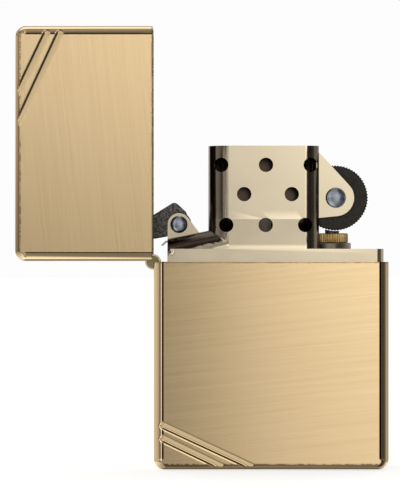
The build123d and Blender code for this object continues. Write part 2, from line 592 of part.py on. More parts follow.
def flint_plunger():
    """Brass tip of the spring, with a stem inside its coils."""
    low = FLINT_BOTTOM - PLUNGER_LENGTH
    tip = z_cylinder(FLINT_R - PLUNGER_GAP, FLINT_BOTTOM - PLUNGER_LENGTH / 2, FLINT_BOTTOM, FLINT_X)
    return tip + z_cylinder(PLUNGER_STEM_R, low, FLINT_BOTTOM - PLUNGER_LENGTH / 2, FLINT_X)


def flint_spring():
    """Coil between the screw and the plunger's shoulder."""
    low = SCREW_TOP + FLINT_SPRING_WIRE_R + FIT_GAP
    high = FLINT_BOTTOM - PLUNGER_LENGTH / 2 - FLINT_SPRING_WIRE_R - FIT_GAP
    radius = FLINT_R - FLINT_SPRING_GAP - FLINT_SPRING_WIRE_R
    coil = Pos(FLINT_X, 0, low) * Helix((high - low) / FLINT_SPRING_TURNS, high - low, radius)
    start = Plane(coil @ 0, z_dir=coil % 0)
    return sweep(start * Circle(FLINT_SPRING_WIRE_R), path=coil, is_frenet=True)


def flint_screw():
    """Slotted screw that holds the spring in the tube from below."""
    head = z_cylinder(SCREW_HEAD_R, SCREW_BOTTOM, SCREW_HEAD_TOP, FLINT_X)
    head = fillet(head.edges().filter_by(GeomType.CIRCLE).sort_by(Axis.Z)[0], SCREW_HEAD_EDGE_R)
    slot = block((FLINT_X - SCREW_HEAD_R, FLINT_X + SCREW_HEAD_R), (-SCREW_SLOT_WIDTH / 2,
                 SCREW_SLOT_WIDTH / 2), (SCREW_BOTTOM - 1, SCREW_BOTTOM + SCREW_SLOT_DEPTH))
    shank = z_cylinder(FLINT_BORE_R - PIN_RUNNING_GAP, SCREW_HEAD_TOP - FIT_GAP, SCREW_TOP, FLINT_X)
    return head - slot + shank


# ---- write every piece --------------------------------------------------------------------
PIECES = {
    "lower_case": lower_case(),
    "hinge_leaf_lower": hinge_leaf(0, -1, PIN_R),
    "hinge_pin": hinge_pin(),
    "lid_shell": lid_shell(),
    "hinge_leaf_upper": lid_at_rest(hinge_leaf(1, 1, PIN_R + PIN_RUNNING_GAP)),
    "lid_stop_plate": lid_stop_plate(),
    "insert_shell": insert_shell(),
    "top_plate": top_plate(),
    "striker_wheel": striker_wheel(),
    "wheel_rivet": rivet(WHEEL_AXLE_R, WHEEL_RIVET_HEAD_R, WHEEL_RIVET_HEAD, WHEEL_EAR_OUT, WHEEL_X, WHEEL_Z),
    "cam": cam(),
    "cam_rivet": rivet(CAM_RIVET_R, CAM_RIVET_HEAD_R, CAM_RIVET_HEAD, CAM_EAR_OUT, CAM_X, CAM_Z),
    "cam_spring": cam_spring(),
    "cam_spring_rivet": cam_spring_rivet(),
    "wick": wick(),
    "felt_pad": felt_pad(),
    "flint_tube": flint_tube(),
    "flint_ferrule": flint_ferrule(),
    "flint_flange": flint_flange(),
    "flint": flint(),
    "flint_plunger": flint_plunger(),
    "flint_spring": flint_spring(),
    "flint_screw": flint_screw(),
}
for number in range(4):
    PIECES[f"cotton_pad_{number + 1}"] = cotton_pad(number)

os.makedirs("parts", exist_ok=True)
for name, piece in PIECES.items():
    export_step(piece, f"parts/{name}.step")
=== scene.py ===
import bmesh
import bpy
import numpy as np
from math import atan2, cos, pi, radians, sin
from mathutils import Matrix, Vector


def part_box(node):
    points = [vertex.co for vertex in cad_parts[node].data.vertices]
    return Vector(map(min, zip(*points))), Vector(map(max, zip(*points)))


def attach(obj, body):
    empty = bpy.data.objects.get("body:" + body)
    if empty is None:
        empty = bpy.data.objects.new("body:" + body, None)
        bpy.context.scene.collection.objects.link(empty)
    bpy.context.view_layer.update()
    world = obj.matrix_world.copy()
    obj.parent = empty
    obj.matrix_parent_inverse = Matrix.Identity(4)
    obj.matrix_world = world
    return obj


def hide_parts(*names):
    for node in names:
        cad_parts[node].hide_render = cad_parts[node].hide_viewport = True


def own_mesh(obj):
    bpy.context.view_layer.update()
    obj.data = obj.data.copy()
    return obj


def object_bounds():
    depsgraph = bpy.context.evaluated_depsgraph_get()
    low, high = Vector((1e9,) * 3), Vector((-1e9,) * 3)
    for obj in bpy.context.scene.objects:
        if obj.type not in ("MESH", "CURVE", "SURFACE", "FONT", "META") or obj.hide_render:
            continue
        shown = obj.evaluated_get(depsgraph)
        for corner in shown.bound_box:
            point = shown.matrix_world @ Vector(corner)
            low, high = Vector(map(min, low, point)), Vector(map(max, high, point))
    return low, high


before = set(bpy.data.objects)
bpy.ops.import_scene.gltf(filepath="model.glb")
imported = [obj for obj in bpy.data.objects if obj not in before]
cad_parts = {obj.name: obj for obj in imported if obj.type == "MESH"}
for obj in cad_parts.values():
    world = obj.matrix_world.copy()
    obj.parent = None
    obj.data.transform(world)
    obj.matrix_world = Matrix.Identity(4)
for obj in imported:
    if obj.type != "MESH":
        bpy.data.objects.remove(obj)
cad_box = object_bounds()

# ---- camera ---------------------------------------------------------------------------------
# Straight on to the front broad face with a long lens, far enough off to draw the faces square,
# and the open lighter centred in the frame.
MM = 0.001
view_height = 80.5 * MM
lens_mm, sensor_mm = 200.0, 36.0
whole_low, whole_high = cad_box
front_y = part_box("lower_case")[0].y
aim_x = (whole_low[0] + whole_high[0]) / 2 - 0.3 * MM
aim_z = (whole_low[2] + whole_high[2]) / 2 - 0.2 * MM
camera_data = bpy.data.cameras.new("camera")
camera_data.lens = lens_mm
camera_data.sensor_width = sensor_mm
camera_data.clip_start = 0.01
camera = bpy.data.objects.new("camera", camera_data)
camera.location = (aim_x, front_y - view_height * lens_mm / sensor_mm, aim_z)
camera.rotation_euler = (pi / 2, 0, 0)
bpy.context.scene.collection.objects.link(camera)
bpy.context.scene.camera = camera
bpy.context.scene.view_settings.view_transform = "Standard"

# ---- studio ---------------------------------------------------------------------------------
# A white tent: soft light all round, with dark flags and bright strips beside the camera that
# draw the lines along the polished edges. The camera itself sees only the plain pale backdrop.
world = bpy.data.worlds.new("tent")
bpy.context.scene.world = world
world.use_nodes = True
nodes, links = world.node_tree.nodes, world.node_tree.links
nodes.clear()
direction = nodes.new("ShaderNodeTexCoord")
split = nodes.new("ShaderNodeSeparateXYZ")
links.new(direction.outputs["Generated"], split.inputs[0])


def math_node(tree, operation, a, b=None):
    """One Math node; a and b are sockets or numbers."""
    node = tree.nodes.new("ShaderNodeMath")
    node.operation = operation
    for slot_index, value in enumerate((a, b)):
        if value is None:
            continue
        if isinstance(value, (int, float)):
            node.inputs[slot_index].default_value = value
        else:
            tree.links.new(value, node.inputs[slot_index])
    return node.outputs[0]


def ramp_node(tree, factor, stops):
    """Grey colour ramp from (position, brightness) pairs."""
    node = tree.nodes.new("ShaderNodeValToRGB")
    elements = node.color_ramp.elements
    while len(elements) > 1:
        elements.remove(elements[-1])
    for index, (position, value) in enumerate(stops):
        element = elements[0] if index == 0 else elements.new(position)
        element.position = position
        element.color = (value, value, value, 1)
    tree.links.new(factor, node.inputs[0])
    return node.outputs[0]


tent = world.node_tree


def times(a, b):
    """Product of two of the tent's values."""
    return math_node(tent, "MULTIPLY", a, b)


def plus(a, b):
    """Sum of two of the tent's values."""
    return math_node(tent, "ADD", a, b)


# turn: azimuth from the camera's side, in degrees, positive towards the wheel, and its brightness
minus_y = times(split.outputs["Y"], -1.0)
turn = math_node(tent, "ARCTAN2", split.outputs["X"], minus_y)
turn_share = plus(math_node(tent, "DIVIDE", turn, 2 * pi), 0.5)
around_stops = [(-180, 0.70), (-165, 0.50), (-152, 0.80), (-112, 0.72), (-85, 0.66), (-60, 0.50),
                (-48, 0.30), (-41, 0.12), (-34, 0.10), (-31, 0.85), (-19, 0.95), (-16, 0.08),
                (-13, 0.08), (-10, 0.30), (-6, 0.40), (-2.6, 0.34), (-1.0, 0.28), (0.2, 0.52),
                (1.6, 0.80), (3.5, 1.0), (6, 1.10), (11, 1.10), (14, 0.10), (46, 0.05), (60, 0.10),
                (76, 0.12), (88, 0.50), (110, 0.40), (130, 0.50), (180, 0.70)]
around = ramp_node(tent, turn_share, [((degrees + 180) / 360, level) for degrees, level in around_stops])

# rise: the direction's Z, from -1 straight down to 1 straight up, and its brightness
rise = plus(times(split.outputs["Z"], 0.5), 0.5)
upward_stops = [(-1.0, 0.44), (-0.85, 0.224), (-0.5, 0.224), (-0.2, 0.36), (-0.1, 0.448), (0.0, 0.48),
                (0.035, 0.736), (0.08, 0.976), (0.12, 1.0), (0.16, 1.0), (0.19, 0.096), (0.46, 0.096),
                (0.62, 0.288), (0.84, 0.496), (1.0, 0.496)]
upward = ramp_node(tent, rise, [((z + 1) / 2, level) for z, level in upward_stops])
glow = times(around, upward)

# a thin flag hangs high over the camera
high_up = ramp_node(tent, rise, [(0.0, 0.0), (0.70, 0.0), (0.745, 1.0), (1.0, 1.0)])
in_front = ramp_node(tent, plus(minus_y, 0.4), [(0.0, 0.0), (0.38, 0.0), (0.52, 1.0), (1.0, 1.0)])
flag_share = 0.1
flag = times(times(high_up, in_front), flag_share)
glow = times(glow, math_node(tent, "SUBTRACT", 1.0, flag))

# pale cards: low down and half way up on both sides, half way up ahead, and overhead behind
low_down = ramp_node(tent, rise, [(0.0, 0.38), (0.325, 0.38), (0.40, 0.0), (1.0, 0.0)])
mid_up = ramp_node(tent, rise, [(0.0, 0.0), (0.575, 0.0), (0.60, 0.32), (0.75, 0.32), (0.81, 0.0),
                                (1.0, 0.0)])
beside = ramp_node(tent, turn_share, [(0.0, 0.0), (0.042, 0.0), (0.056, 1.0), (0.475, 1.0), (0.486, 0.08),
                                      (0.74, 0.08), (0.80, 1.0), (0.944, 1.0), (0.958, 0.0), (1.0, 0.0)])
ahead = ramp_node(tent, turn_share, [(0.0, 0.0), (0.498, 0.0), (0.5014, 1.0), (0.53, 1.0), (0.54, 0.0),
                                     (1.0, 0.0)])
overhead = ramp_node(tent, rise, [(0.0, 0.0), (0.84, 0.0), (0.93, 1.0), (1.0, 1.0)])
behind = math_node(tent, "SUBTRACT", 1.0, in_front)
glow = plus(glow, times(plus(low_down, mid_up), beside))
glow = plus(glow, times(mid_up, ahead))
overhead_share, tent_strength = 0.3, 2.2
glow = plus(glow, times(times(overhead, behind), overhead_share))
seen = nodes.new("ShaderNodeBackground")
seen.inputs["Color"].default_value = (0.98, 0.98, 0.98, 1)
lit = nodes.new("ShaderNodeBackground")
links.new(times(glow, tent_strength), lit.inputs["Strength"])
lit.inputs["Color"].default_value = (1.0, 0.985, 0.96, 1)
path = nodes.new("ShaderNodeLightPath")
mix = nodes.new("ShaderNodeMixShader")
links.new(path.outputs["Is Camera Ray"], mix.inputs[0])
links.new(lit.outputs[0], mix.inputs[1])
links.new(seen.outputs[0], mix.inputs[2])
output = nodes.new("ShaderNodeOutputWorld")
links.new(mix.outputs[0], output.inputs[0])

# The floor glows a little, and polished metal sees the tent through it.
floor_mesh = bpy.data.meshes.new("floor")
reach = 3.0
floor_mesh.from_pydata([(-reach, -reach, 0), (reach, -reach, 0), (reach, reach, 0), (-reach, reach, 0)], [],
                       [(0, 1, 2, 3)])
floor = bpy.data.objects.new("floor", floor_mesh)
bpy.context.scene.collection.objects.link(floor)
paper = bpy.data.materials.new("paper")
paper.use_nodes = True
shader = paper.node_tree.nodes["Principled BSDF"]
shader.inputs["Base Color"].default_value = (0.62, 0.62, 0.62, 1)
shader.inputs["Roughness"].default_value = 0.9
shader.inputs["Emission Color"].default_value = (1, 1, 1, 1)
shader.inputs["Emission Strength"].default_value = 0.66
paper_tree = paper.node_tree
ray = paper_tree.nodes.new("ShaderNodeLightPath")
unseen = paper_tree.nodes.new("ShaderNodeBsdfTransparent")
either = paper_tree.nodes.new("ShaderNodeMixShader")
paper_tree.links.new(ray.outputs["Is Glossy Ray"], either.inputs[0])
paper_tree.links.new(shader.outputs[0], either.inputs[1])
paper_tree.links.new(unseen.outputs[0], either.inputs[2])
paper_tree.links.new(either.outputs[0], paper_tree.nodes["Material Output"].inputs[0])
floor_mesh.materials.append(paper)

# ---- lower case and lid ---------------------------------------------------------------------
# Two deep-drawn brass cups with 0.65 mm walls. The broad faces are brushed along the width, the
# rounded edges are polished, and two bright grooves are cut across one corner of each face.
# Painted shade darkens the cups' insides, their rims, their rounded closed ends and the grooves.
case_low, case_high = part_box("lower_case")
lid_low, lid_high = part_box("lid_shell")
case_height = case_high.z - case_low.z
lid_height = lid_high.x - lid_low.x
seam_z = case_high.z
hinge_gap = 0.15 * MM
hinge_x = case_low.x - hinge_gap
shut_gap = 0.05 * MM
wall = 0.65 * MM
corner_r = 1.8 * MM
round_depth = 1.5 * MM
side_band, lid_side_band, end_band = 1.62 * MM, 1.45 * MM, 0.95 * MM
# Painted shade: how far the rounded end band, the mouth's rim and the grooves are darkened towards the dark
# brass colour.
end_band_shade, rim_shade, groove_shade = 0.85, 0.7, 0.28  # how far each is toned down to the dark brass
groove_near, groove_far = 0.30 * MM, 0.64 * MM  # the groove's steep flank and its gentle flank
groove_bottom, groove_depth, groove_soft = -0.17 * MM, 0.17 * MM, 0.1
groove_reaches = [(7.85 * MM, 16.9 * MM), (5.75 * MM, 12.0 * MM)]
notch_r, notch_half = 1.37 * MM, 4.67 * MM
grid_fine, grid_coarse, rim_line = 0.15 * MM, 1.0 * MM, 0.3 * MM
strip_fine, strip_coarse = 0.4 * MM, 0.7 * MM
arc_points, roll_points = 10, 11
groove_zone_x, groove_zone_z = 2.0 * MM, 8.6 * MM


def spaced(start, end, step):
    """Evenly spaced values from start to end, about step apart."""
    return np.linspace(start, end, max(2, int(round(abs(end - start) / step)) + 1))


def groove_floor(x, z, half_width, half_depth):
    """How far the grooves' cutters reach in: y of a lopsided V, steep towards the corner and gentle
    towards the face, whose depth falls off linearly from its lowest line, softened there."""
    deepest = np.full_like(x, -np.inf)
    for up_side, along_end in groove_reaches:
        slope = atan2(up_side, along_end)
        across = (x + half_width) * sin(slope) + (z - up_side) * cos(slope)
        off = across - groove_bottom
        flank = np.where(off < 0, groove_near, groove_far)
        fall = np.sqrt((off / flank) ** 2 + groove_soft ** 2) - groove_soft
        deepest = np.maximum(deepest, -half_depth + groove_depth * (1 - fall))
    return deepest


def cup_patches(width, depth, height, low, corner, y_round, side, end, notch_side, grooved):
    """Open cup with its mouth at z = height. The front view is a rectangle whose two lower corners
    are arcs; from each outline point the surface rolls through a quarter ellipse, band wide and
    y_round deep, into the narrow sides. Faces are columns from the rolled edge up to the mouth.
    With the points come their polish, their flat coordinates and their painted shade, 1 for the full dark
    brass colour."""
    half_x, half_y = width / 2, depth / 2
    rows = np.concatenate([spaced(low + corner, groove_zone_z, grid_fine)[:-1],
                           spaced(groove_zone_z, height - rim_line, grid_coarse), [height]])
    inner_x = half_x - corner
    fine = spaced(-inner_x, -groove_zone_x, grid_fine)
    plain = spaced(-groove_zone_x, groove_zone_x, grid_coarse)
    bottom = np.concatenate([fine[:-1], plain[:-1], -fine[::-1]])
    arc = np.linspace(0, pi / 2, arc_points)
    left_arc = np.stack([-inner_x - corner * np.cos(arc), low + corner - corner * np.sin(arc)], 1)
    right_arc = left_arc[::-1] * (-1, 1)
    span = np.stack([bottom, np.full_like(bottom, low)], 1)
    lower = np.concatenate([left_arc, span[1:-1], right_arc])
    lower_n = np.concatenate([np.stack([-np.cos(arc), -np.sin(arc)], 1),
                              np.tile((0.0, -1.0), (len(span) - 2, 1)),
                              np.stack([np.cos(arc), -np.sin(arc)], 1)[::-1]])
    left = np.stack([np.full_like(rows, -half_x), rows], 1)[::-1]
    right = np.stack([np.full_like(rows, half_x), rows], 1)
    outline = np.concatenate([left[:-1], lower, right[1:]])
    normal = np.concatenate([np.tile((-1.0, 0.0), (len(rows) - 1, 1)), lower_n,
                             np.tile((1.0, 0.0), (len(rows) - 1, 1))])
    band = side + (end - side) * np.abs(normal[:, 1])

    roll = np.linspace(0, pi / 2, roll_points)
    notch_inner = notch_half - 0.01 * MM
    flat = np.concatenate([spaced(-half_y + y_round, -notch_half, strip_fine),
                           spaced(-notch_inner, notch_inner, strip_coarse),
                           spaced(notch_half, half_y - y_round, strip_fine)])
    inset = np.concatenate([1 - np.sin(roll), np.zeros(len(flat) - 2), (1 - np.sin(roll))[::-1]])
    level = np.concatenate([-half_y + y_round * (1 - np.cos(roll)), flat[1:-1],
                            half_y - y_round * (1 - np.cos(roll))[::-1]])
    strip = np.zeros((len(outline), len(level), 3))
    strip[..., 0] = outline[:, :1] - normal[:, :1] * band[:, None] * inset
    strip[..., 2] = outline[:, 1:] - normal[:, 1:] * band[:, None] * inset
    strip[..., 1] = level
    on_side = np.sign(normal[:, 0]) * (normal[:, 1] == 0) == notch_side
    wall_gap = abs(case_low.x - hinge_x) + (abs(case_low.x) - half_x)
    notch_depth = np.sqrt(notch_r ** 2 - min(wall_gap, notch_r) ** 2)
    in_notch = np.abs(level) < (notch_half + notch_inner) / 2
    base = low + corner
    scale = (height - notch_depth - base) / (height - base)
    lowered = base + (strip[..., 2] - base) * scale
    strip[..., 2] = np.where(on_side[:, None] & in_notch[None, :], lowered, strip[..., 2])

    edge = lower - lower_n * (side + (end - side) * np.abs(lower_n[:, 1]))[:, None]
    share = (rows - base) / (height - base)
    front = np.zeros((len(edge), len(rows), 3))
    front[..., 0] = edge[:, :1]
    front[..., 1] = -half_y
    front[..., 2] = edge[:, 1:] + (height - edge[:, 1:]) * share
    back = front * (1, -1, 1)
    polish = [np.ones(strip.shape[:2]), np.zeros(front.shape[:2]), np.zeros(back.shape[:2])]
    patches = [strip, front, back]
    # Painted shade on the rolled band round the closed end, and on the top row at the mouth.
    tone = [end_band_shade * np.abs(normal[:, 1:]) ** 2 * np.minimum(8 * inset, 1.0),
            np.zeros(front.shape[:2]), np.zeros(back.shape[:2])]
    tone[0][[0, -1]] = rim_shade
    tone[1][:, -1] = tone[2][:, -1] = rim_shade
    # The cut grooves are polished and get painted shade.
    if grooved:
        for index, patch in enumerate(patches):
            for facing in (-1, 1):
                x, y, z = -facing * patch[..., 0], -facing * patch[..., 1], patch[..., 2]
                floor_y = groove_floor(x, z, half_x, half_y)
                cut = (floor_y > y) & (y < 0)
                patch[..., 1] = np.where(cut, -facing * floor_y, patch[..., 1])
                polish[index] = np.where(cut, 1.0, polish[index])
                tone[index] = np.where(cut, groove_shade, tone[index])
    uvs = [np.stack(np.broadcast_arrays(np.arange(len(outline))[:, None] * 0.1 * MM, level[None, :]), 2),
           front[..., (0, 2)], back[..., (0, 2)]]
    return patches, polish, uvs, tone


def mesh_from_patches(name, patches, polish=None, uvs=None, sharp=40, painted_shade=None):
    """Mesh of quad grids and loose quads, its doubles merged and its normals turned outwards."""
    points, faces, weights, flat_uv = [], [], [], []
    start = 0
    for index, patch in enumerate(patches):
        n, m = patch.shape[:2]
        ids = np.arange(n * m).reshape(n, m) + start
        quads = np.stack([ids[:-1, :-1], ids[1:, :-1], ids[1:, 1:], ids[:-1, 1:]], 2).reshape(-1, 4)
        faces.append(quads)
        points.append(patch.reshape(-1, 3))
        weights.append(np.ones(n * m) if polish is None else polish[index].reshape(-1))
        flat_uv.append(patch[..., (0, 2)].reshape(-1, 2) if uvs is None else uvs[index].reshape(-1, 2))
        start += n * m
    points, faces = np.concatenate(points), np.concatenate(faces)
    mesh = bpy.data.meshes.new(name)
    mesh.from_pydata(points.tolist(), [], faces.tolist())
    attribute = mesh.attributes.new("polish", "FLOAT", "POINT")
    attribute.data.foreach_set("value", np.concatenate(weights).astype(np.float32))
    # The painted shade values become a point attribute that the brass darkens with.
    if painted_shade is not None:
        shade_values = np.concatenate([v.reshape(-1) for v in painted_shade])
        attribute = mesh.attributes.new("painted_shade", "FLOAT", "POINT")
        attribute.data.foreach_set("value", shade_values.astype(np.float32))
    layer = mesh.uv_layers.new(name="brush")
    corner_ids = np.zeros(len(mesh.loops), np.int32)
    mesh.loops.foreach_get("vertex_index", corner_ids)
    layer.data.foreach_set("uv", (np.concatenate(flat_uv)[corner_ids] * 100).astype(np.float32).ravel())
    work = bmesh.new()
    work.from_mesh(mesh)
    bmesh.ops.remove_doubles(work, verts=work.verts, dist=2e-7)
    bmesh.ops.dissolve_degenerate(work, edges=work.edges, dist=1e-8)
    bmesh.ops.recalc_face_normals(work, faces=work.faces)
    work.to_mesh(mesh)
    work.free()
    mesh.shade_smooth()
    mesh.set_sharp_from_angle(angle=radians(sharp))
    return mesh


def piece(name, mesh, body, node, material):
    """New object on its body, standing for a CAD node and wearing one material."""
    thing = bpy.data.objects.new(name, mesh)
    bpy.context.scene.collection.objects.link(thing)
    mesh.materials.clear()
    mesh.materials.append(material)
    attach(thing, body)
    if node:
        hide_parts(*([node] if isinstance(node, str) else node))
    return thing


def drawn_cup(height, notch_side, band):
    """Outer and inner cup joined round the mouth, with their polish, flat coordinates and painted shade."""
    width, depth = 2 * case_high.x, 2 * case_high.y
    outer, polish, uvs, tone = cup_patches(width, depth, height, 0.0, corner_r, round_depth, band, end_band,
                                           notch_side, True)
    inner, unpolished, inner_uvs, _ = cup_patches(width - 2 * wall, depth - 2 * wall, height, wall,
                                                  corner_r - wall, round_depth - wall, band - wall,
                                                  end_band - wall / 2, notch_side, False)
    rims = [np.stack([outer[0][0], inner[0][0]]), np.stack([outer[0][-1], inner[0][-1]]),
            np.stack([outer[1][:, -1], inner[1][:, -1]]), np.stack([outer[2][:, -1], inner[2][:, -1]])]
    patches = outer + inner + rims
    ones = [np.ones(r.shape[:2]) for r in rims]
    rim_uvs = [r[..., (0, 2)] for r in rims]
    # Painted shade: the whole inner cup in full, the rims in part.
    painted_shades = tone + [np.ones_like(u) for u in unpolished] + [r * rim_shade for r in ones]
    polishes = polish + [np.zeros_like(u) for u in unpolished] + ones
    return patches, polishes, uvs + inner_uvs + rim_uvs, painted_shades


def open_lid(patches):
    """From cup axes to the open lid: turned over on to the case, then a right angle back."""
    moved = []
    for patch in patches:
        closed_x = -patch[..., 0]
        closed_z = seam_z + shut_gap + lid_height - patch[..., 2]
        over, up = closed_x - hinge_x, closed_z - seam_z
        moved.append(np.stack([hinge_x - up, patch[..., 1], seam_z + over], 2))
    return moved


def brush_group():
    """Brushing strokes along X, fine ones over broad ones, as a value from 0 to 1."""
    group = bpy.data.node_groups.new("brushing", "ShaderNodeTree")
    for name, kind in (("Vector", "NodeSocketVector"), ("Tilt", "NodeSocketFloat")):
        group.interface.new_socket(name, in_out="INPUT", socket_type=kind)
    group.interface.new_socket("Strokes", in_out="OUTPUT", socket_type="NodeSocketFloat")
    start = group.nodes.new("NodeGroupInput")
    end = group.nodes.new("NodeGroupOutput")
    tilt = group.nodes.new("ShaderNodeVectorRotate")
    tilt.rotation_type = "Y_AXIS"
    group.links.new(start.outputs["Vector"], tilt.inputs["Vector"])
    group.links.new(start.outputs["Tilt"], tilt.inputs["Angle"])
    values = []
    for scale in ((90, 90, 9000), (30, 30, 2200)):
        stretch = group.nodes.new("ShaderNodeVectorMath")
        stretch.operation = "MULTIPLY"
        stretch.inputs[1].default_value = scale
        noise = group.nodes.new("ShaderNodeTexNoise")
        noise.inputs["Scale"].default_value = 1.0
        noise.inputs["Detail"].default_value = 3.0
        group.links.new(tilt.outputs[0], stretch.inputs[0])
        group.links.new(stretch.outputs[0], noise.inputs["Vector"])
        values.append(noise.outputs["Fac"])
    total = group.nodes.new("ShaderNodeMix")
    total.inputs["Factor"].default_value = 0.45
    group.links.new(values[0], total.inputs["A"])
    group.links.new(values[1], total.inputs["B"])
    group.links.new(total.outputs["Result"], end.inputs["Strokes"])
    return group


brushing = brush_group()


def mix_colour(tree, factor, a, b):
    """Colour between a and b; each is a colour or a socket."""
    node = tree.nodes.new("ShaderNodeMix")
    node.data_type = "RGBA"
    for name, value in (("Factor", factor), ("A", a), ("B", b)):
        socket = [s for s in node.inputs if s.name == name and s.enabled][0]
        if isinstance(value, (int, float)):
            socket.default_value = value
        elif isinstance(value, tuple):
            socket.default_value = (*value, 1)
        else:
            tree.links.new(value, socket)
    return [s for s in node.outputs if s.enabled][0]


def brass(name, quarter_turn):
    """Brushed brass: strokes run along X, or along Z with a quarter turn; polished where the
    polish attribute is 1, and painted dark brown with shade, and duller, where the shade attribute is 1."""
    material = bpy.data.materials.new(name)
    material.use_nodes = True
    tree = material.node_tree
    shader = tree.nodes["Principled BSDF"]
    place = tree.nodes.new("ShaderNodeTexCoord")
    turned = tree.nodes.new("ShaderNodeMapping")
    turned.inputs["Rotation"].default_value = (0, pi / 2 if quarter_turn else 0, 0)
    tree.links.new(place.outputs["Object"], turned.inputs["Vector"])
    marks = tree.nodes.new("ShaderNodeGroup")
    marks.node_tree = brushing
    marks.inputs["Tilt"].default_value = radians(6)
    tree.links.new(turned.outputs[0], marks.inputs["Vector"])
    shine = tree.nodes.new("ShaderNodeAttribute")
    shine.attribute_name = "polish"
    strokes = ramp_node(tree, marks.outputs["Strokes"], [(0.3, 0.0), (0.7, 1.0)])
    satin = mix_colour(tree, strokes, (0.705, 0.524, 0.291), (0.775, 0.586, 0.344))
    # Painted shade: dark brown brass where the shade attribute is 1.
    inner = tree.nodes.new("ShaderNodeAttribute")
    inner.attribute_name = "painted_shade"
    metal = mix_colour(tree, shine.outputs["Fac"], satin, (0.84, 0.64, 0.375))
    metal = mix_colour(tree, inner.outputs["Fac"], metal, (0.20, 0.13, 0.06))
    tree.links.new(metal, shader.inputs["Base Color"])
    least, most = (0.17, 0.20) if quarter_turn else (0.12, 0.14)
    rough = ramp_node(tree, strokes, [(0.0, least), (1.0, most)])
    rough = math_node(tree, "ADD", rough, math_node(tree, "MULTIPLY", inner.outputs["Fac"], 0.22))
    smooth = math_node(tree, "MULTIPLY", math_node(tree, "SUBTRACT", 1.0, shine.outputs["Fac"]), rough)
    tree.links.new(math_node(tree, "ADD", smooth, math_node(tree, "MULTIPLY", shine.outputs["Fac"], 0.07)),
                   shader.inputs["Roughness"])
    bump = tree.nodes.new("ShaderNodeBump")
    bump.inputs["Strength"].default_value = 0.2
    bump.inputs["Distance"].default_value = 0.01 * MM
    matte = math_node(tree, "SUBTRACT", 1.0, shine.outputs["Fac"])
    tree.links.new(math_node(tree, "MULTIPLY", marks.outputs["Strokes"], matte), bump.inputs["Height"])
    tree.links.new(bump.outputs[0], shader.inputs["Normal"])
    shader.inputs["Metallic"].default_value = 1.0
    shader.inputs["Anisotropic"].default_value = 0.9 if quarter_turn else 1.0
    shader.inputs["Anisotropic Rotation"].default_value = 0.25
    tangent = tree.nodes.new("ShaderNodeTangent")
    tangent.direction_type = "UV_MAP"
    tangent.uv_map = "brush"
    tree.links.new(tangent.outputs[0], shader.inputs["Tangent"])
    return material


case_brass = brass("case_brass", False)
lid_brass = brass("lid_brass", True)
patches, polish, uvs, painted_shades = drawn_cup(case_height, -1, side_band)
case_mesh = mesh_from_patches("case_skin", patches, polish, uvs, painted_shade=painted_shades)
piece("case_skin", case_mesh, "case", "lower_case", case_brass)
patches, polish, uvs, painted_shades = drawn_cup(lid_height, 1, lid_side_band)
lid_mesh = mesh_from_patches("lid_skin", open_lid(patches), polish, uvs, painted_shade=painted_shades)
piece("lid_skin", lid_mesh, "lid", "lid_shell", lid_brass)

# ---- insert ---------------------------------------------------------------------------------
# One folded box of thin champagne-coloured steel: tank, cam-side roof, chimney with eight vents in
# front and seven behind, and the pairs of ears that carry the wheel and the cam.
waist, shoulder = seam_z + 7.0 * MM, seam_z + 2.13 * MM
roof_end, chimney_reach = -8.2 * MM, 9.0 * MM
# How much of the painted dark colour the sloping roof and the chimney's rounded ends get: painted dark
# reflections.
roof_shade, chimney_end_shade = 1.0, 0.85


def cad_copy(node, body, material, bevel=0.0, sharp=32, rows=(), sheet_middle=None):
    """Smooth piece from a CAD node: corners merged, flat faces joined, its edges rounded. rows are
    heights where the sheet gets an extra line of points, so that a shallow fold reads as a bend.
    Faces that look towards the upright axis at x = sheet_middle get painted shade, and the sloping roof and
    the chimney's rounded ends painted dark reflections, in the shade attribute."""
    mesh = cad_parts[node].data.copy()
    work = bmesh.new()
    work.from_mesh(mesh)
    bmesh.ops.remove_doubles(work, verts=work.verts, dist=1e-6)
    bmesh.ops.dissolve_limit(work, angle_limit=radians(0.6), verts=work.verts, edges=work.edges)
    for height in rows:
        every = work.verts[:] + work.edges[:] + work.faces[:]
        bmesh.ops.bisect_plane(work, geom=every, plane_co=(0, 0, height), plane_no=(0, 0, 1), dist=1e-7)
    bmesh.ops.recalc_face_normals(work, faces=work.faces)
    work.to_mesh(mesh)
    work.free()
    # Painted shade on the faces that look inwards, and painted dark reflections on the sloping roof and the
    # chimney's rounded ends.
    if sheet_middle is not None:
        centre = np.array([f.center[:] for f in mesh.polygons])
        normal = np.array([f.normal[:] for f in mesh.polygons])
        towards = centre[:, :2] - (sheet_middle, 0.0)
        inward = np.sum(towards * normal[:, :2], axis=1) < -0.2 * np.linalg.norm(towards, axis=1)
        roof = (normal[:, 2] > 0.3) & (centre[:, 2] < waist + 0.5 * MM) & (centre[:, 0] < roof_end)
        ends = ((np.abs(normal[:, 0]) > 0.15) & (centre[:, 2] > shoulder)
                & (np.abs(towards[:, 0]) < chimney_reach))
        painted_dark = np.maximum(1.0 * inward, np.maximum(roof_shade * roof, chimney_end_shade * ends))
        mesh.attributes.new("painted_shade", "FLOAT", "FACE").data.foreach_set("value", painted_dark.astype(np.float32))
    mesh.shade_smooth()
    mesh.set_sharp_from_angle(angle=radians(sharp))
    thing = piece(node + "_skin", mesh, body, node, material)
    if bevel:
        rounding = thing.modifiers.new("edges", "BEVEL")
        rounding.width = bevel
        rounding.segments = 3
        rounding.limit_method = "ANGLE"
        rounding.angle_limit = radians(32)
        evened = thing.modifiers.new("shading", "WEIGHTED_NORMAL")
        evened.keep_sharp = True
    return thing


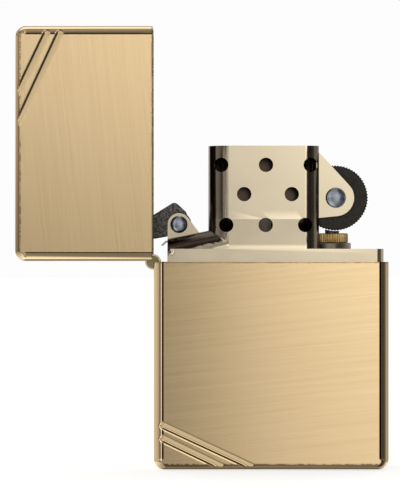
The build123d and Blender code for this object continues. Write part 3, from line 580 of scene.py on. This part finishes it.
def plain_metal(name, colour, rough, uneven=0.0, grain=900.0, relief=0.0, metallic=1.0, dark=None,
                contrast=0.35, painted_dark=None):
    """Metal whose tone and polish wander softly; relief in metres is a fine surface grain; the last
    argument is the colour of painted shade and dark reflections, laid on where the shade attribute is 1."""
    material = bpy.data.materials.new(name)
    material.use_nodes = True
    tree = material.node_tree
    shader = tree.nodes["Principled BSDF"]
    shader.inputs["Metallic"].default_value = metallic
    place = tree.nodes.new("ShaderNodeTexCoord")
    noise = tree.nodes.new("ShaderNodeTexNoise")
    noise.inputs["Scale"].default_value = grain
    noise.inputs["Detail"].default_value = 3.0
    tree.links.new(place.outputs["Object"], noise.inputs["Vector"])
    tone = ramp_node(tree, noise.outputs["Fac"], [(contrast, 0.0), (1 - contrast, 1.0)])
    finish = mix_colour(tree, tone, dark or tuple(0.86 * c for c in colour), colour)
    # Painted shade and dark reflections, where the shade attribute says.
    if painted_dark:
        inner = tree.nodes.new("ShaderNodeAttribute")
        inner.attribute_name = "painted_shade"
        finish = mix_colour(tree, inner.outputs["Fac"], finish, painted_dark)
    tree.links.new(finish, shader.inputs["Base Color"])
    tree.links.new(math_node(tree, "ADD", math_node(tree, "MULTIPLY", tone, uneven), rough),
                   shader.inputs["Roughness"])
    if relief:
        bump = tree.nodes.new("ShaderNodeBump")
        bump.inputs["Strength"].default_value = 0.6
        bump.inputs["Distance"].default_value = relief
        tree.links.new(noise.outputs["Fac"], bump.inputs["Height"])
        tree.links.new(bump.outputs[0], shader.inputs["Normal"])
    return material


# The insert's steel is painted near black with shade and dark reflections where cad_copy marks it.
insert_steel = plain_metal("insert_steel", (0.68, 0.59, 0.43), 0.14, 0.04, 160.0, dark=(0.64, 0.55, 0.40),
                           painted_dark=(0.075, 0.055, 0.042))
bends = [shoulder - 0.8 * MM, shoulder + 0.8 * MM, waist - 1.4 * MM, waist + 1.4 * MM]
cad_copy("insert_shell", "insert", insert_steel, 0.1 * MM, rows=bends, sheet_middle=-1.2 * MM)
cad_copy("top_plate", "insert", insert_steel, 0.05 * MM)

# ---- hinge and stop plate -------------------------------------------------------------------
# Two brass leaves soldered inside the walls, their five knuckles on a brass pin with flattened
# heads; a bent spring-steel strip inside the lid is what the cam's nose pushes on.
hinge_brass = plain_metal("hinge_brass", (0.80, 0.61, 0.34), 0.2, 0.1, 700.0)
pin_brass = plain_metal("pin_brass", (0.30, 0.27, 0.14), 0.35, 0.1, 1500.0)
spring_steel = plain_metal("spring_steel", (0.50, 0.47, 0.43), 0.28, 0.1, 500.0)
cad_copy("hinge_leaf_lower", "case", hinge_brass, 0.06 * MM)
cad_copy("hinge_leaf_upper", "lid", hinge_brass, 0.06 * MM)
cad_copy("hinge_pin", "case", pin_brass, 0.06 * MM)
cad_copy("lid_stop_plate", "lid", spring_steel, 0.06 * MM)

# ---- striker wheel --------------------------------------------------------------------------
# Hardened steel wheel, its rim cut into fine teeth one way and scored the other, nearly black
# with flint dust, turning between the ears on a riveted axle.
wheel_low, wheel_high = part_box("striker_wheel")
wheel_x, wheel_z = (wheel_low.x + wheel_high.x) / 2, (wheel_low.z + wheel_high.z) / 2
wheel_r = (wheel_high.x - wheel_low.x) / 2
teeth, tooth_depth = 68, 0.28 * MM
hub_r, bore_r = 2.2 * MM, 1.05 * MM
hub_half = wheel_high.y
rim_half = hub_half - 0.15 * MM


def turned(name, profile, steps, centre, along, cut=None, sharp=35):
    """Surface of revolution: each (radius, level) of the closed profile carried round the axis
    through centre; cut(angle, radius, level) gives the radius left after cutting."""
    radius, level = np.asarray(profile, float).T
    angle = np.linspace(0, 2 * pi, steps + 1)[:, None]
    r = np.broadcast_to(radius, (steps + 1, len(radius)))
    if cut is not None:
        r = cut(angle, r, level[None, :])
    a, b = r * np.cos(angle), r * np.sin(angle)
    s = np.broadcast_to(level, a.shape)
    if along == "y":
        grid = np.stack([centre[0] + a, centre[1] + s, centre[2] + b], 2)
    else:
        grid = np.stack([centre[0] + a, centre[1] + b, centre[2] + s], 2)
    return mesh_from_patches(name, [grid], sharp=sharp)


def tooth_cut(angle, radius, level):
    """Saw teeth round the rim, broken up by scores that run across them in a slow helix."""
    phase = (angle * teeth / (2 * pi)) % 1.0
    saw = np.where(phase < 0.7, phase / 0.7, (1 - phase) / 0.3)
    score = np.abs(np.sin(pi * level / (0.62 * MM) + 3 * angle)) ** 0.5
    on_rim = np.clip((radius - 0.9 * wheel_r) / (0.05 * wheel_r), 0, 1)
    return radius - on_rim * tooth_depth * (0.62 * saw + 0.38 * (1 - score))


edge = 0.16 * MM
rim = [(wheel_r - edge + edge * sin(t), -rim_half + edge - edge * cos(t)) for t in np.linspace(0, pi / 2, 5)]
across = [(wheel_r, s) for s in np.linspace(-rim_half + 1.4 * edge, rim_half - 1.4 * edge, 38)]
side = [(r, -rim_half) for r in np.linspace(hub_r, 0.9 * wheel_r, 4)]
hub_edge = 0.1 * MM
front_side = [(bore_r, -hub_half), (hub_r - hub_edge, -hub_half), (hub_r, -hub_half + hub_edge)] + side + rim
profile = front_side + across + [(r, -s) for r, s in front_side[::-1]] + [(bore_r, -hub_half)]
wheel_mesh = turned("wheel_skin", profile, teeth * 8, (wheel_x, 0, wheel_z), "y", tooth_cut, sharp=60)
wheel_steel = plain_metal("wheel_steel", (0.075, 0.069, 0.06), 0.42, 0.15, 2500.0, 0.02 * MM,
                          dark=(0.04, 0.037, 0.032))
piece("wheel_skin", wheel_mesh, "wheel", "striker_wheel", wheel_steel)

# ---- rivets ---------------------------------------------------------------------------------
# Steel rivets through the ears, their heads set to low domes and slightly hammered.
rivet_steel = plain_metal("rivet_steel", (0.42, 0.46, 0.53), 0.2, 0.15, 900.0, 0.04 * MM,
                          dark=(0.26, 0.29, 0.34))


def rivet_skin(node, shank_r, head_r, head, x, z):
    """Shank with a dome at each end: a quarter ellipse from the flat crown to the ear."""
    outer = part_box(node)[1].y
    crown = np.linspace(0, pi / 2, 12)
    dome = [(head_r * (0.25 + 0.75 * sin(t)) if t else 0.0, -outer + head * 0.92 * (1 - cos(t)))
            for t in crown]
    half = dome + [(head_r, -outer + head), (shank_r, -outer + head)]
    mesh = turned(node + "_skin", half + [(r, -s) for r, s in half[::-1]], 64, (x, 0, z), "y", sharp=50)
    piece(node + "_skin", mesh, "insert", node, rivet_steel)


cam_low, cam_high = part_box("cam_rivet")
cam_x, cam_z = (cam_low.x + cam_high.x) / 2, (cam_low.z + cam_high.z) / 2
rivet_skin("wheel_rivet", 1.0 * MM, 1.66 * MM, 0.7 * MM, wheel_x, wheel_z)
rivet_skin("cam_rivet", 0.85 * MM, 1.41 * MM, 0.6 * MM, cam_x, cam_z)

# ---- cam and its leaf spring ----------------------------------------------------------------
# Sand-blasted dark lever on its rivet; the bent leaf riveted to the top plate presses it either
# way, and the leaf's tip shows beside the insert's left wall.
cam_steel = plain_metal("cam_steel", (0.27, 0.25, 0.225), 0.5, 0.12, 3600.0, 0.05 * MM, 0.7,
                        dark=(0.06, 0.055, 0.05), contrast=0.42)
cad_copy("cam", "cam", cam_steel, 0.12 * MM)
leaf = cad_copy("cam_spring", "insert", spring_steel)
cad_copy("cam_spring_rivet", "insert", rivet_steel, 0.08 * MM)

# ---- flint tube, collar and flange ----------------------------------------------------------
# Brass tube up from the tank's floor, a knurled brass collar round its mouth and a dull washer
# under the collar on the tank's shoulder.
collar_low, collar_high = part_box("flint_ferrule")
flint_x = (collar_low.x + collar_high.x) / 2
collar_r, bore = (collar_high.x - collar_low.x) / 2, 1.635 * MM
tube_brass = plain_metal("tube_brass", (0.82, 0.60, 0.28), 0.22, 0.15, 1200.0, dark=(0.60, 0.43, 0.19))


flutes, flute_depth = 36, 0.16 * MM


def knurl_cut(angle, radius, level):
    """Round-bottomed flutes cut straight down the collar and stopping at its rounded edges."""
    flute = np.abs(np.cos(flutes / 2 * angle)) ** 3
    return radius - flute_depth * flute * (radius > collar_r - 0.02 * MM)


top_edge = 0.22 * MM
arc = np.linspace(0, pi / 2, 5)
lower = [(collar_r - top_edge + top_edge * sin(t), collar_low.z + top_edge - top_edge * cos(t)) for t in arc]
upper = [(collar_r - top_edge + top_edge * cos(t), collar_high.z - top_edge + top_edge * sin(t)) for t in arc]
profile = [(bore, collar_low.z)] + lower + upper + [(bore, collar_high.z), (bore, collar_low.z)]
collar_mesh = turned("collar_skin", profile, flutes * 10, (flint_x, 0, 0), "z", knurl_cut, sharp=50)
piece("collar_skin", collar_mesh, "insert", "flint_ferrule", tube_brass)
dull_steel = plain_metal("dull_steel", (0.33, 0.28, 0.24), 0.35, 0.15, 900.0)
cad_copy("flint_flange", "insert", dull_steel)
cad_copy("flint_tube", "insert", tube_brass, 0.05 * MM)

# ---- flint, plunger, spring and screw -------------------------------------------------------
# The grey flint stands in the tube against the wheel, pushed up by a plunger on a long coil
# spring that the slotted brass screw holds from below.
flint_grey = plain_metal("flint_alloy", (0.24, 0.23, 0.22), 0.55, 0.15, 2500.0, 0.02 * MM)
cad_copy("flint", "flint", flint_grey)
cad_copy("flint_plunger", "flint", tube_brass, 0.05 * MM)
cad_copy("flint_screw", "screw", tube_brass, 0.08 * MM)
coil_low, coil_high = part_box("flint_spring")
wire_r, coil_turns = 0.17 * MM, 22


def tube_skin(name, path, radius, sides, ridges=None):
    """Round tube swept along a path: circles square to the path's direction, closed by points at
    both ends; ridges(along, around) scales the radius."""
    way = np.gradient(path, axis=0)
    way /= np.linalg.norm(way, axis=1)[:, None]
    first = np.tile((0.0, 1.0, 0.0), (len(path), 1))
    first -= way * np.sum(first * way, axis=1)[:, None]
    first /= np.linalg.norm(first, axis=1)[:, None]
    second = np.cross(way, first)
    along = np.concatenate([[0], np.cumsum(np.linalg.norm(np.diff(path, axis=0), axis=1))])[:, None]
    around = np.linspace(0, 2 * pi, sides + 1)[None, :]
    r = radius * np.broadcast_to(1.0 if ridges is None else ridges(along, around), (len(path), sides + 1))
    grid = path[:, None] + r[..., None] * (np.cos(around)[..., None] * first[:, None]
                                            + np.sin(around)[..., None] * second[:, None])
    ends = [np.repeat(path[i][None, None], sides + 1, 1) for i in (0, -1)]
    return mesh_from_patches(name, [np.concatenate([ends[0], grid, ends[1]])], sharp=70)


wound = np.linspace(0, 2 * pi * coil_turns, coil_turns * 28)
coil_r = (coil_high.x - coil_low.x) / 2 - wire_r
coil_z = coil_low.z + wire_r + (coil_high.z - coil_low.z - 2 * wire_r) * wound / wound[-1]
coil_path = np.stack([flint_x + coil_r * np.cos(wound), coil_r * np.sin(wound), coil_z], 1)
coil = piece("flint_spring_skin", tube_skin("flint_spring_skin", coil_path, wire_r, 10), "insert",
             "flint_spring", spring_steel)
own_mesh(coil)
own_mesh(leaf)

# ---- wick -----------------------------------------------------------------------------------
# Plaited cotton cord with a fine wire in it: upright in the chimney, its tip charred, and below
# the top plate led to and fro between the cotton pads.
wick_low, wick_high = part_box("wick")
wick_r = 1.25 * MM


def rounded_route(corners, radius, step):
    """Points along straight runs joined by arcs of one radius, about step apart."""
    points = [np.asarray(corners[0], float)]
    for before, corner, after in zip(corners, corners[1:], corners[2:]):
        before, corner, after = (np.asarray(p, float) for p in (before, corner, after))
        into, out = (before - corner), (after - corner)
        into /= np.linalg.norm(into)
        out /= np.linalg.norm(out)
        start, middle = corner + radius * into, corner + radius * (into + out)
        line = np.linspace(0, 1, max(2, int(np.linalg.norm(start - points[-1]) / step)))[1:, None]
        points.extend(points[-1] + line * (start - points[-1]))
        bend = np.linspace(0, pi / 2, max(3, int(radius * pi / 2 / step)))[1:, None]
        points.extend(middle - radius * (out * np.cos(bend) + into * np.sin(bend)))
    last = np.asarray(corners[-1], float)
    line = np.linspace(0, 1, int(np.linalg.norm(last - points[-1]) / step))[1:, None]
    points.extend(points[-1] + line * (last - points[-1]))
    return np.array(points)


def plait(along, around):
    """Two sets of strands wound opposite ways, each strand a soft rib."""
    turns = 2 * pi * along / (2.6 * MM)
    return 0.93 + 0.035 * (np.abs(np.cos(2 * around + turns)) + np.abs(np.cos(2 * around - turns)))


wick_x = -1.1 * MM
left_x, right_x = wick_low.x + wick_r, wick_high.x - wick_r
low_run = wick_low.z + wick_r
pitch = 7.4 * MM
top_run, middle_run = low_run + 2 * pitch, low_run + pitch
corners = [(wick_x, 0, wick_high.z), (wick_x, 0, top_run), (left_x, 0, top_run), (left_x, 0, middle_run),
           (right_x, 0, middle_run), (right_x, 0, low_run), (left_x + 4 * MM, 0, low_run)]
wick_path = rounded_route(corners, pitch / 2 - 0.02 * MM, 0.12 * MM)
wick_cotton = bpy.data.materials.new("wick_cotton")
wick_cotton.use_nodes = True
tree = wick_cotton.node_tree
shader = tree.nodes["Principled BSDF"]
shader.inputs["Roughness"].default_value = 0.9
shader.inputs["Sheen Weight"].default_value = 0.3
place = tree.nodes.new("ShaderNodeTexCoord")
height = tree.nodes.new("ShaderNodeSeparateXYZ")
tree.links.new(place.outputs["Object"], height.inputs[0])
noise = tree.nodes.new("ShaderNodeTexNoise")
noise.inputs["Scale"].default_value = 900.0
tree.links.new(place.outputs["Object"], noise.inputs["Vector"])
ragged = math_node(tree, "MULTIPLY", noise.outputs["Fac"], 2.5 * MM)
ragged = math_node(tree, "ADD", height.outputs["Z"], ragged)
charred = math_node(tree, "SUBTRACT", ragged, wick_high.z - 2.6 * MM)
charred = math_node(tree, "MULTIPLY", charred, 450.0)
charred = ramp_node(tree, charred, [(0.0, 0.0), (1.0, 1.0)])
tree.links.new(mix_colour(tree, charred, (0.62, 0.56, 0.46), (0.025, 0.022, 0.02)),
               shader.inputs["Base Color"])
wick_mesh = tube_skin("wick_skin", wick_path, wick_r, 24, plait)
piece("wick_skin", wick_mesh, "insert", "wick", wick_cotton)

# ---- packing --------------------------------------------------------------------------------
# Four cotton wads pressed in round the wick, and the felt that closes the tank from below.


def fibre(name, colour, scale, relief):
    """Matt tangled fibres: a fine relief and a faint sheen."""
    material = bpy.data.materials.new(name)
    material.use_nodes = True
    tree = material.node_tree
    shader = tree.nodes["Principled BSDF"]
    shader.inputs["Roughness"].default_value = 0.95
    shader.inputs["Sheen Weight"].default_value = 0.4
    place = tree.nodes.new("ShaderNodeTexCoord")
    noise = tree.nodes.new("ShaderNodeTexNoise")
    noise.inputs["Scale"].default_value = scale
    noise.inputs["Detail"].default_value = 5.0
    noise.inputs["Distortion"].default_value = 1.5
    tree.links.new(place.outputs["Object"], noise.inputs["Vector"])
    tree.links.new(mix_colour(tree, noise.outputs["Fac"], tuple(0.75 * c for c in colour), colour),
                   shader.inputs["Base Color"])
    bump = tree.nodes.new("ShaderNodeBump")
    bump.inputs["Distance"].default_value = relief
    tree.links.new(noise.outputs["Fac"], bump.inputs["Height"])
    tree.links.new(bump.outputs[0], shader.inputs["Normal"])
    return material


cotton = fibre("cotton_wool", (0.86, 0.84, 0.79), 1400.0, 0.12 * MM)
felt = fibre("felt", (0.55, 0.53, 0.50), 2600.0, 0.06 * MM)


def wad(node):
    """Pressed wad inside its node's box: a rounded block whose faces swell and dip in soft lumps."""
    low, high = (np.array(c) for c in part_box(node))
    u = np.linspace(-pi / 2, pi / 2, 37)[:, None]
    v = np.linspace(-pi, pi, 97)[None, :]
    ball = np.stack(np.broadcast_arrays(np.cos(u) * np.cos(v), np.cos(u) * np.sin(v), np.sin(u)), 2)
    block = np.sign(ball) * np.abs(ball) ** 0.42
    x, y, z = block[..., 0], block[..., 1], block[..., 2]
    lump = 0.94 + 0.03 * np.sin(7 * x + 3 * z) * np.cos(5 * y + 2 * x) + 0.02 * np.sin(13 * x + 9 * y)
    places = (low + high) / 2 + (high - low) / 2 * block * lump[..., None]
    skin = mesh_from_patches(node + "_skin", [places], sharp=180)
    piece(node + "_skin", skin, "insert", node, cotton)


for number in (2, 3, 4):
    wad("cotton_pad_%d" % number)
cad_copy("cotton_pad_1", "insert", cotton, 0.0, 180)
cad_copy("felt_pad", "insert", felt, 0.25 * MM)
